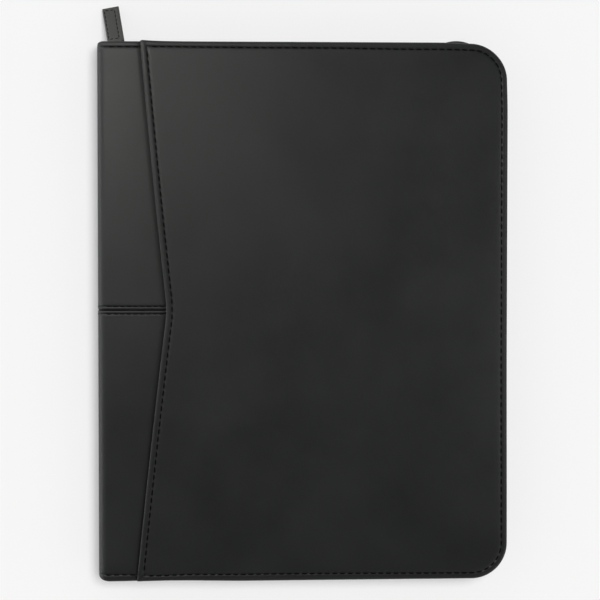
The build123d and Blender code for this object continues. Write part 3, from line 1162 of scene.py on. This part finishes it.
# Rows round the frame: distance in from its outer edge, corner radius and height.
frame_rows = (
    (0.0, 3.0, 0.0),
    (0.0, 3.0, 0.5),
    (0.08, 2.95, 0.68),
    (0.3, 2.8, 0.75),
    (1.75, 1.7, 0.75),
    (2.0, 1.5, 0.62),
    (2.34, 1.4, 0.62),
    (2.6, 1.3, 0.75),
    (6.7, 1.0, 0.75),
    (6.92, 0.95, 0.68),
    (7.0, 0.9, 0.5),
    (7.0, 0.9, 0.0),
)
arc_steps = 8
window_sink = 0.68 * mm
frame_points = []
for inset, radius, rise in frame_rows:
    for side_x, side_y, turn in ((1, 1, 0), (-1, 1, 90), (-1, -1, 180), (1, -1, 270)):
        reach_x = (high.x - low.x) / 2 - (inset + radius) * mm
        reach_y = (high.y - low.y) / 2 - (inset + radius) * mm
        for step in range(arc_steps + 1):
            angle = math.radians(turn + 90 * step / arc_steps)
            x = (low.x + high.x) / 2 + side_x * reach_x + radius * mm * math.cos(angle)
            y = (low.y + high.y) / 2 + side_y * reach_y + radius * mm * math.sin(angle)
            frame_points.append(Vector((x, y, high.z - rise * mm)))
frame_faces = grid_faces(len(frame_rows), 4 * (arc_steps + 1), ring=True, tube=True)
window_frame = new_piece("window_frame", frame_points, frame_faces)
face_outward(window_frame)
finish_piece(window_frame, pocket_leather)
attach(window_frame, "front_cover")
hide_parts("id_window_frame")
row = sewn_sides(low, high, pocket_stitch, pocket_corner, high.z - window_sink)
row[0].y = high.y - pocket_stitch
row[-1].y = high.y - pocket_stitch
row.append(row[0])
spots = spots_along(row, pocket_stitch_gap, Vector((0, 0, -1)))
sew("window_stitching", spots, "front_cover", "pocket_leatherette", *fine_stitch)
film, tree, shader = new_material(
    "clear_film", {"Transmission Weight": 1.0, "IOR": 1.46, "Base Color": (0.95, 0.96, 0.96, 1)}
)
scuffs = map_range(tree, mottle(tree, 120, 3), low=0.04, high=0.22)
tree.links.new(scuffs, shader.inputs["Roughness"])
dress_nodes(film, "id_window_film")

# Pen loop: a band of ribbed black elastic, sewn flat to the spine lining at both ends and
# standing round the pen between them.
low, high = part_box("pen_loop")
loop_centre = Vector((-116.1, 0, 13.5)) * mm
loop_radius = 5.95 * mm
loop_thick = 0.8 * mm
loop_edge = 0.2 * mm
loop_start = 150
loop_turn = 300
loop_steps = 24
loop_rows = 4
foot_x = -122.05
upper_foot = (20.3, 18.2)
lower_foot = (8.8, 6.7)


def bevel_edges(piece, width, segments, angle=0.8):
    """Rounds the edges of a piece that turn by more than an angle in radians."""
    use_modifier(
        piece, "BEVEL", width=width, segments=segments, limit_method="ANGLE", angle_limit=angle
    )


loop_line = [Vector((foot_x, 0, z)) * mm for z in upper_foot]
for step in range(loop_steps + 1):
    angle = math.radians(loop_start - loop_turn * step / loop_steps)
    turn = Vector((math.cos(angle), 0, math.sin(angle)))
    loop_line.append(loop_centre + turn * loop_radius)
loop_line += [Vector((foot_x, 0, z)) * mm for z in lower_foot]
loop_line = smooth_line([Vector((point.x, low.y, point.z)) for point in loop_line], 1)
pen_loop = ribbon("pen_loop_elastic", loop_line, Vector((0, high.y - low.y, 0)), loop_rows)
use_modifier(pen_loop, "SOLIDIFY", thickness=loop_thick, offset=0)
bevel_edges(pen_loop, loop_edge, 2)
elastic = cloth_material(
    "ribbed_elastic", (0.008, 0.008, 0.008, 1), (0.038, 0.038, 0.040, 1), 0.9 * mm, 2, 0.8, "UV"
)
finish_piece(pen_loop, elastic, 50)
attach(pen_loop, "spine")
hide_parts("pen_loop")

# Zipper tapes: two bands of black twill, sewn flat under the covers' edges and turned up
# or down at the fold to meet at the middle of the case's wall, round three sides.
zip_inset = 6.5 * mm
zip_start = -121.5 * mm
zip_middle = 13 * mm
zip_top = edge_top - zip_inset
zip_bend = cover_corner - zip_inset
straight_run = corner_x - zip_start
bend_run = zip_bend * math.pi / 2
side_run = 2 * corner_y
zip_run = 2 * straight_run + 2 * bend_run + side_run


def zip_place(run):
    """Point and outward direction on the zipper's line, at a length from the spine's top end."""
    if run <= straight_run:
        return Vector((zip_start + run, zip_top, 0)), Vector((0, 1, 0))
    run -= straight_run
    if run <= bend_run:
        angle = math.pi / 2 - run / zip_bend
        out = Vector((math.cos(angle), math.sin(angle), 0))
        return Vector((corner_x, corner_y, 0)) + out * zip_bend, out
    run -= bend_run
    if run <= side_run:
        return Vector((corner_x + zip_bend, corner_y - run, 0)), Vector((1, 0, 0))
    run -= side_run
    if run <= bend_run:
        angle = -run / zip_bend
        out = Vector((math.cos(angle), math.sin(angle), 0))
        return Vector((corner_x, -corner_y, 0)) + out * zip_bend, out
    run -= bend_run
    return Vector((corner_x - run, -zip_top, 0)), Vector((0, -1, 0))


# Distances out from the zipper's line, and heights, from the sewn edge to the coil.
tape_profile = (
    (4.9, 21.15),
    (3.0, 21.1),
    (1.6, 21.0),
    (0.8, 20.7),
    (0.5, 20.3),
    (0.4, 19.9),
    (0.33, 19.4),
    (0.3, 18.9),
    (0.27, 18.4),
    (0.22, 17.95),
    (0.1, 17.2),
    (0.0, 16.4),
    (-0.5, 15.6),
    (-1.25, 14.9),
    (-1.45, 14.0),
    (-1.45, 13.1),
)
tape_steps = 520
tape_thick = 0.5 * mm
sway_depth = 0.22
sway_run = 13 * mm
sway_top = 21.2
sway_height = 6
pleat_start = 200 * mm
pleat_stop = 232 * mm
pleat_low = 18.0
pleat_high = 21.1
pleat_depth = 7.4
pleat_along_power = 0.7
pleat_up_power = 0.8
tape_cloth = cloth_material(
    "zipper_tape", (0.005, 0.005, 0.006, 1), (0.022, 0.022, 0.024, 1), 0.5 * mm, 4, 0.75, "UV"
)


def pleat(run, z):
    """How far the front tape bulges out, in a pleat that the top right corner pushes together."""
    along = min(1, max(0, (run - pleat_start) / (pleat_stop - pleat_start)))
    up = min(1, max(0, (z - pleat_low) / (pleat_high - pleat_low)))
    share = math.sin(math.pi * along) ** pleat_along_power
    return pleat_depth * share * math.sin(math.pi * up) ** pleat_up_power


def tape_sway(run, z):
    """How far a tape waves in and out along its free part."""
    return (
        sway_depth * math.sin(run / sway_run) * math.sin(math.pi * (sway_top - z) / sway_height)
    )


def tape_band(name, mirrored):
    """A tape swept along the zipper's line, with a UV map in metres, and its width."""
    across = [0.0]
    for (out_a, z_a), (out_b, z_b) in zip(tape_profile, tape_profile[1:]):
        across.append(across[-1] + math.hypot(out_b - out_a, z_b - z_a) * mm)
    runs = [zip_run * step / tape_steps for step in range(tape_steps + 1)]
    points = []
    for run in runs:
        place, out = zip_place(run)
        for outward, z in tape_profile:
            height = (2 * zip_middle - z * mm) if mirrored else z * mm
            bulge = 0 if mirrored else pleat(run, z)
            reach = (outward + tape_sway(run, z) + bulge) * mm
            points.append(place + out * reach + Vector((0, 0, height)))
    band = new_piece(name, points, grid_faces(len(runs), len(across)))
    lay_threads(band, runs, across)
    if mirrored:
        band.data.flip_normals()
    use_modifier(band, "SOLIDIFY", thickness=tape_thick, offset=0)
    finish_piece(band, tape_cloth)
    return band, across[-1]


for side, body in (("front", "front_cover"), ("back", "back_cover")):
    band, width = tape_band(side + "_tape", side == "back")
    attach(band, body)
    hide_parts(side + "_zipper_tape")

# Zipper coils: a black nylon monofilament wound into flat turns along each tape's edge.
# In the real zipper the turns of the two rows lie half a pitch apart and lock into each other;
# here both rows are wound from the same start, one above the other.
coil_pitch = 1.25 * mm
coil_points = 10
coil_wire = 0.28 * mm
coil_half_height = 1.6 * mm
coil_half_depth = 1.0 * mm
coil_start = 2.0 * mm
coil_offset = 1.25 * mm
depth_power = 0.7
height_power = 0.8
nylon = mottled_material(
    "coil_nylon",
    {"Specular IOR Level": 0.5},
    (700, 2),
    (0.008, 0.008, 0.009, 1),
    (0.020, 0.020, 0.021, 1),
    gloss=(0.26, 0.46),
)


def fuller(value, power):
    """A sine or cosine made fuller, so that a round turn becomes a flat one."""
    return math.copysign(abs(value) ** power, value)


def coil_row(name, middle_z):
    """A row of flat turns along the zipper's line, as a tube made into a mesh."""
    turns = int((zip_run - 2 * coil_start) / coil_pitch)
    wire = bpy.data.curves.new(name, "CURVE")
    wire.dimensions = "3D"
    wire.bevel_depth = coil_wire
    wire.bevel_resolution = 1
    wire.use_fill_caps = True
    line = wire.splines.new("POLY")
    line.points.add(turns * coil_points)
    for step in range(turns * coil_points + 1):
        turn = 2 * math.pi * step / coil_points
        place, out = zip_place(coil_start + coil_pitch * step / coil_points)
        reach = fuller(math.sin(turn), depth_power) * coil_half_depth
        rise = fuller(math.cos(turn), height_power) * coil_half_height
        centre = place + out * reach + Vector((0, 0, middle_z + rise))
        line.points[step].co = (*centre, 1)
    row = bpy.data.objects.new(name, wire)
    bpy.context.scene.collection.objects.link(row)
    select_only(row)
    bpy.ops.object.convert(target="MESH")
    row = bpy.context.object
    finish_piece(row, nylon, 80)
    return row


for side, body, middle_z in (
    ("front", "front_cover", zip_middle + coil_offset),
    ("back", "back_cover", zip_middle - coil_offset),
):
    row = coil_row(side + "_coil", middle_z)
    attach(row, body)
    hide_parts(side + "_zipper_coil")

# Slider, its bridge and the zipper's end stops: cast zinc under black enamel. The stops are
# small clips, pinched over the end of each coil.
enamel = mottled_material(
    "black_enamel",
    {"Coat Weight": 0.2},
    (1400, 2),
    (0.010, 0.010, 0.011, 1),
    (0.024, 0.024, 0.026, 1),
    bump=(0.15, 0.1 * mm),
    gloss=(0.24, 0.42),
)
dress_nodes(enamel, "slider_body", "slider_bridge")

clip_pinch = (0.35 * mm, 0.3 * mm)
clip_edge = 0.28 * mm
for side in ("front", "back"):
    low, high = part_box(side + "_zipper_stops")
    clip_size = (high.x - low.x, 2 * (high.y - zip_top), high.z - low.z)
    bpy.ops.object.select_all(action="DESELECT")
    for upward in (1, -1):
        middle = ((low.x + high.x) / 2, upward * zip_top, (low.z + high.z) / 2)
        bpy.ops.mesh.primitive_cube_add(size=1, location=middle, scale=clip_size)
        if upward > 0:
            stops = bpy.context.object
            bpy.ops.object.mode_set(mode="EDIT")
    bpy.ops.object.mode_set(mode="OBJECT")
    bpy.ops.object.transform_apply(location=True, rotation=True, scale=True)
    stops.name = side + "_stops"
    bpy.ops.object.mode_set(mode="EDIT")
    select_faces(stops, lambda normal: abs(normal.y) > facing_share)
    bpy.ops.mesh.inset(thickness=clip_pinch[0], depth=-clip_pinch[1])
    bpy.ops.object.mode_set(mode="OBJECT")
    bevel_edges(stops, clip_edge, 3)
    finish_piece(stops, enamel)
    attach(stops, side + "_cover")
    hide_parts(side + "_zipper_stops")

# Pull tab: a strip of black leather looped round the slider's bridge, doubled back on
# itself and closed by a box of stitches. It hangs down to the table beside the case.
bar_centre = Vector((-113.0, 163.75, 13.0)) * mm
tab_droop = math.radians(26.295)
tab_skew = math.radians(8.4)
tab_width = 10.3 * mm
tab_start = 1.6 * mm
tab_end = 25.8 * mm
tab_thick = 2.4 * mm
tab_neck = 5.6 * mm
tab_shift = -0.85 * mm
tab_slant = 0.07
tab_margin = 1.7
tab_steps = ((0.3, -0.2), (0.3, 0.2), (0.5, 0.05))
tab_edge = 0.45 * mm
tab_sharp = 1.2
neck_thick = 1.0 * mm
neck_edge = 0.2 * mm
box_shift = -0.9 * mm
box_sink = 0.08 * mm
box_gap = 2.9 * mm
box_stitch = (2.3, 0.55, 0.5)
tab_lie = Matrix.Translation(bar_centre) @ Matrix.Rotation(-tab_droop, 4, "X")
tab_turn = Matrix.Rotation(tab_skew, 4, "Z")

middle = (tab_shift, (tab_start + tab_end) / 2, 0)
pull_tab = start_piece(
    "pull_tab_leather", bpy.ops.mesh.primitive_cube_add, size=1, location=middle
)
pull_tab.scale = (tab_width, tab_end - tab_start, tab_thick)
bpy.ops.object.transform_apply(location=True, rotation=False, scale=True)
bpy.ops.object.mode_set(mode="EDIT")
for out in (1, -1):
    select_faces(pull_tab, lambda normal: normal.z * out > facing_share)
    bpy.ops.mesh.inset(thickness=tab_margin * mm)
    bpy.ops.transform.translate(value=(box_shift, 0, 0))
    for inset, rise in tab_steps:
        bpy.ops.mesh.inset(thickness=inset * mm, depth=rise * mm)
bpy.ops.object.mode_set(mode="OBJECT")
for vertex in pull_tab.data.vertices:
    vertex.co.y += tab_slant * (vertex.co.x - tab_shift) * vertex.co.y / tab_end
bevel_edges(pull_tab, tab_edge, 4, tab_sharp)
pull_tab.data.transform(tab_turn)

# Places along the tab and up, on the loop round the slider's bridge.
neck_line = (
    (5.4, 0.62),
    (3.2, 0.66),
    (1.6, 1.25),
    (0.2, 1.75),
    (-1.3, 1.3),
    (-1.8, 0.0),
    (-1.3, -1.3),
    (0.2, -1.75),
    (1.6, -1.25),
    (3.2, -0.66),
    (5.4, -0.62),
)
neck_points = [Vector((-tab_neck / 2, y * mm, z * mm)) for y, z in neck_line]
neck = ribbon("pull_neck", smooth_line(neck_points, 2), Vector((tab_neck, 0, 0)), 1)
use_modifier(neck, "SOLIDIFY", thickness=neck_thick, offset=0)
bevel_edges(neck, neck_edge, 2)
select_only(pull_tab)
neck.select_set(True)
bpy.ops.object.join()
pull_tab.data.transform(tab_lie)
# Painted light: the tab's leather is coloured far lighter and a little warmer than the covers',
# for the top light its tilted face catches.
pull_leather = leather_material(
    "pull_leather", (0.036, 0.0368, 0.0345, 1), (0.054, 0.055, 0.052, 1), 0.55 * mm, 0.4
)
finish_piece(pull_tab, pull_leather)
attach(pull_tab, "pull_tab")
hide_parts("pull_tab")
box_inset = (tab_margin + tab_steps[0][0]) * mm
box_left = tab_shift + box_shift - tab_width / 2 + box_inset
box_right = tab_shift + box_shift + tab_width / 2 - box_inset
box_low = tab_start + box_inset
box_high = tab_end - box_inset
whole = tab_lie @ tab_turn
spots = []
for out in (1, -1):
    z = out * (tab_thick / 2 - box_sink)
    corners = [
        Vector((box_left, box_low, z)),
        Vector((box_left, box_high, z)),
        Vector((box_right, box_high, z)),
        Vector((box_right, box_low, z)),
        Vector((box_left, box_low, z)),
    ]
    for first, second in zip(corners, corners[1:]):
        count = max(2, round((second - first).length / box_gap))
        gap = (second - first).length / count
        for centre, along, side in spots_along([first, second], gap, Vector((0, 0, out))):
            spots.append((whole @ centre, whole.to_3x3() @ along, whole.to_3x3() @ side))
sew("pull_stitching", spots, "pull_tab", "pull_leather", *box_stitch)

# Writing pad: fifty ruled sheets of letter paper on a grey card back, gummed at the head
# under a black tape. It slides into the pad pocket by its card.
sheet_pitch = 0.1 * mm
line_gap = 7.1 * mm
line_width = 0.35 * mm
line_start = -200 * mm
head_line = 105 * mm
margin_line = -76 * mm
margin_half = 0.25 * mm
edge_part = 0.6
edge_shade = 0.55
paper, tree, shader = new_material("ruled_paper", {"Roughness": 0.85})
parts = add_node(tree, "ShaderNodeSeparateXYZ", {0: surface_place(tree)}).outputs
facing = add_node(tree, "ShaderNodeNewGeometry", {}).outputs["True Normal"]
face_z = add_node(tree, "ShaderNodeSeparateXYZ", {0: facing}).outputs[2]
on_top = calc(tree, "GREATER_THAN", face_z, 0.5)
below_start = calc(tree, "SUBTRACT", parts[1], line_start)
line_place = calc(tree, "FLOORED_MODULO", below_start, line_gap)
on_line = calc(tree, "LESS_THAN", line_place, line_width)
below_head = calc(tree, "LESS_THAN", parts[1], head_line)
margin_place = calc(tree, "ABSOLUTE", calc(tree, "SUBTRACT", parts[0], margin_line))
on_margin = calc(tree, "LESS_THAN", margin_place, margin_half)
ruled = calc(tree, "MULTIPLY", calc(tree, "MULTIPLY", on_line, below_head), on_top)
margin = calc(tree, "MULTIPLY", on_margin, on_top)
fibres = mottle(tree, 400, 4)
paper_colour = blend_colours(tree, fibres, (0.72, 0.712, 0.672, 1), (0.80, 0.792, 0.755, 1))
# Painted shade: darker lines between the stacked sheets on the pad's sides.
layer_place = calc(tree, "FLOORED_MODULO", parts[2], sheet_pitch * 2)
layer_edge = calc(tree, "LESS_THAN", layer_place, sheet_pitch * edge_part)
on_side = calc(tree, "SUBTRACT", 1, calc(tree, "ABSOLUTE", face_z))
layer_shade = calc(tree, "MULTIPLY", calc(tree, "MULTIPLY", layer_edge, on_side), edge_shade)
paper_colour = blend_colours(tree, layer_shade, paper_colour, (0.47, 0.452, 0.415, 1))
paper_colour = blend_colours(tree, ruled, paper_colour, (0.35, 0.46, 0.63, 1))
paper_colour = blend_colours(tree, margin, paper_colour, (0.67, 0.25, 0.25, 1))
tree.links.new(paper_colour, shader.inputs["Base Color"])
rough_bump(tree, shader, fibres, 0.15, 0.1 * mm)
dress_nodes(paper, "pad_sheets")

pad_low, pad_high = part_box("pad_sheets")
binding_lap = 12 * mm
head_gap = 0.2 * mm
sheet_lift = 0.06 * mm
curl_slant = 0.55
curl_start = 1.12
curl_reach = 0.43
curl_rise = 2.4 * mm
wave_turn = 3.1
wave_rise = 0.12 * mm
grid_mesh = bpy.ops.mesh.primitive_grid_add
top_sheet = start_piece(
    "pad_top_sheet", grid_mesh, x_subdivisions=30, y_subdivisions=40, size=1
)
sheet_top = pad_high.y - binding_lap - head_gap
for vertex in top_sheet.data.vertices:
    across = vertex.co.x + 0.5
    down = 0.5 - vertex.co.y
    curl = max(0, across * curl_slant + down - curl_start) / curl_reach
    rise = curl_rise * curl**2 + wave_rise * math.sin(wave_turn * across) * down
    x = pad_low.x + (pad_high.x - pad_low.x) * across
    y = sheet_top - (sheet_top - pad_low.y) * down
    vertex.co = Vector((x, y, pad_high.z + sheet_lift + rise))
use_modifier(top_sheet, "SOLIDIFY", thickness=sheet_pitch, offset=1)
finish_piece(top_sheet, paper)
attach(top_sheet, "back_cover")

card = mottled_material(
    "pad_card",
    {"Roughness": 0.88},
    (1200, 5),
    (0.24, 0.20, 0.15, 1),
    (0.40, 0.34, 0.26, 1),
    bump=(0.3, 0.1 * mm),
)
dress_nodes(card, "pad_backing")
binding = cloth_material(
    "pad_binding", (0.008, 0.008, 0.009, 1), (0.030, 0.030, 0.032, 1), 0.5 * mm, 2, 0.7, "UV"
)
low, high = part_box("pad_binding")
binding_thick = 0.3 * mm
binding_round = 0.5 * mm
binding_top = high.z - binding_thick / 2
binding_head = high.y - binding_thick / 2
binding_line = (
    (low.y, binding_top),
    (binding_head - binding_round, binding_top),
    (binding_head, binding_top),
    (binding_head, binding_top - binding_round),
    (binding_head, low.z),
)
binding_line = smooth_line([Vector((low.x, y, z)) for y, z in binding_line], 2)
pad_tape = ribbon("pad_head_tape", binding_line, Vector((high.x - low.x, 0, 0)), 1)
use_modifier(pad_tape, "SOLIDIFY", thickness=binding_thick, offset=0)
face_outward(pad_tape)
finish_piece(pad_tape, binding)
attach(pad_tape, "back_cover")
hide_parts("pad_binding")

# Studio: a pale table top under a lamp of its own, a key and a fill lamp for the case, two
# round boxes over its top left corner and a strip at each side. The camera stands almost
# straight above, with a long lens.
table_drop = 0.05 * mm
table_size = 6
table_glow = 0.225
floor = start_piece(
    "table_top", bpy.ops.mesh.primitive_plane_add, size=table_size, location=(0, 0, -table_drop)
)
table_white, tree, shader = new_material(
    "table_white",
    {"Roughness": 0.9, "Base Color": (0.68, 0.68, 0.68, 1), "Emission Color": (1, 1, 1, 1)},
)
paths = add_node(tree, "ShaderNodeLightPath", {}).outputs
seen = calc(tree, "MAXIMUM", paths["Is Camera Ray"], paths["Is Glossy Ray"])
seen = calc(tree, "MAXIMUM", seen, paths["Is Transmission Ray"])
tree.links.new(calc(tree, "MULTIPLY", seen, table_glow), shader.inputs["Emission Strength"])
floor.data.materials.append(table_white)

scene = bpy.context.scene
scene.view_settings.view_transform = "Standard"
world = bpy.data.worlds.new("studio")
scene.world = world
world.use_nodes = True
sky = world.node_tree.nodes["Background"]
direction = surface_place(world.node_tree, "Generated")
parts = add_node(world.node_tree, "ShaderNodeSeparateXYZ", {0: direction}).outputs
above = map_range(world.node_tree, parts[2], 0.95, 0.6, 0.2, 1.0, "SMOOTHSTEP")
world.node_tree.links.new(above, sky.inputs["Color"])
sky.inputs["Strength"].default_value = 0.36


def studio_lamp(name, kind, energy, aim, lit, place=(0, 0, 0), **settings):
    """A lamp that points along a line and lights only the table or only the case."""
    lamp = bpy.data.lights.new(name, kind)
    lamp.energy = energy
    for setting, value in settings.items():
        setattr(lamp, setting, value)
    holder = bpy.data.objects.new(name, lamp)
    holder.location = place
    holder.rotation_mode = "QUATERNION"
    holder.rotation_quaternion = Vector(aim).to_track_quat("-Z", "Y")
    scene.collection.objects.link(holder)
    receivers = bpy.data.collections.new(name + "_receivers")
    receivers.objects.link(floor)
    holder.light_linking.receiver_collection = receivers
    receivers.collection_objects[0].light_linking.link_state = lit


studio_lamp("table_lamp", "SUN", 2.52, (-0.13, -0.17, -1), "INCLUDE", angle=math.radians(26))
studio_lamp("key_lamp", "SUN", 1.36, (0.75, -0.7, -0.8), "EXCLUDE", angle=math.radians(40))
studio_lamp("fill_lamp", "SUN", 0.7, (-0.7, 0.6, -0.45), "EXCLUDE", angle=math.radians(60))
studio_lamp(
    "softbox",
    "AREA",
    0.97,
    (0.05, -0.05, -1),
    "EXCLUDE",
    (-0.2, 0.21, 0.44),
    shape="DISK",
    size=0.12,
    color=(1.0, 1.0, 0.94),
)
studio_lamp(
    "rim_box",
    "AREA",
    0.25,
    (0.1, -0.3, -1),
    "EXCLUDE",
    (-0.22, 0.30, 0.44),
    shape="DISK",
    size=0.14,
)
studio_lamp(
    "edge_strip",
    "AREA",
    0.075,
    (-1, 0, -1),
    "EXCLUDE",
    (0.20, 0.01, 0.12),
    shape="RECTANGLE",
    size=0.27,
    size_y=0.03,
)
studio_lamp(
    "strip_lamp",
    "AREA",
    2.8,
    (1, 0, 0),
    "EXCLUDE",
    (-0.75, 0, 0.06),
    shape="RECTANGLE",
    size=0.9,
    size_y=0.12,
)

view_distance = 1.4
view_width = 366.6 * mm
view_lean_x = math.radians(-3.8)
view_lean_y = math.radians(2.5)
sensor = 36
target = Vector((-2.4 * mm, 7.7 * mm, front_face))
view_back = Vector((math.tan(view_lean_x), math.tan(view_lean_y), 1)).normalized()
lens = bpy.data.cameras.new("photo_camera")
lens.sensor_width = sensor
lens.lens = sensor * view_distance / view_width
camera = bpy.data.objects.new("photo_camera", lens)
camera.location = target + view_back * view_distance
camera.rotation_mode = "QUATERNION"
view_right = Vector((0, 1, 0)).cross(view_back).normalized()
view_up = view_back.cross(view_right)
turned = Matrix((view_right, view_up, view_back)).transposed()
camera.rotation_quaternion = turned.to_quaternion()
scene.collection.objects.link(camera)
scene.camera = camera
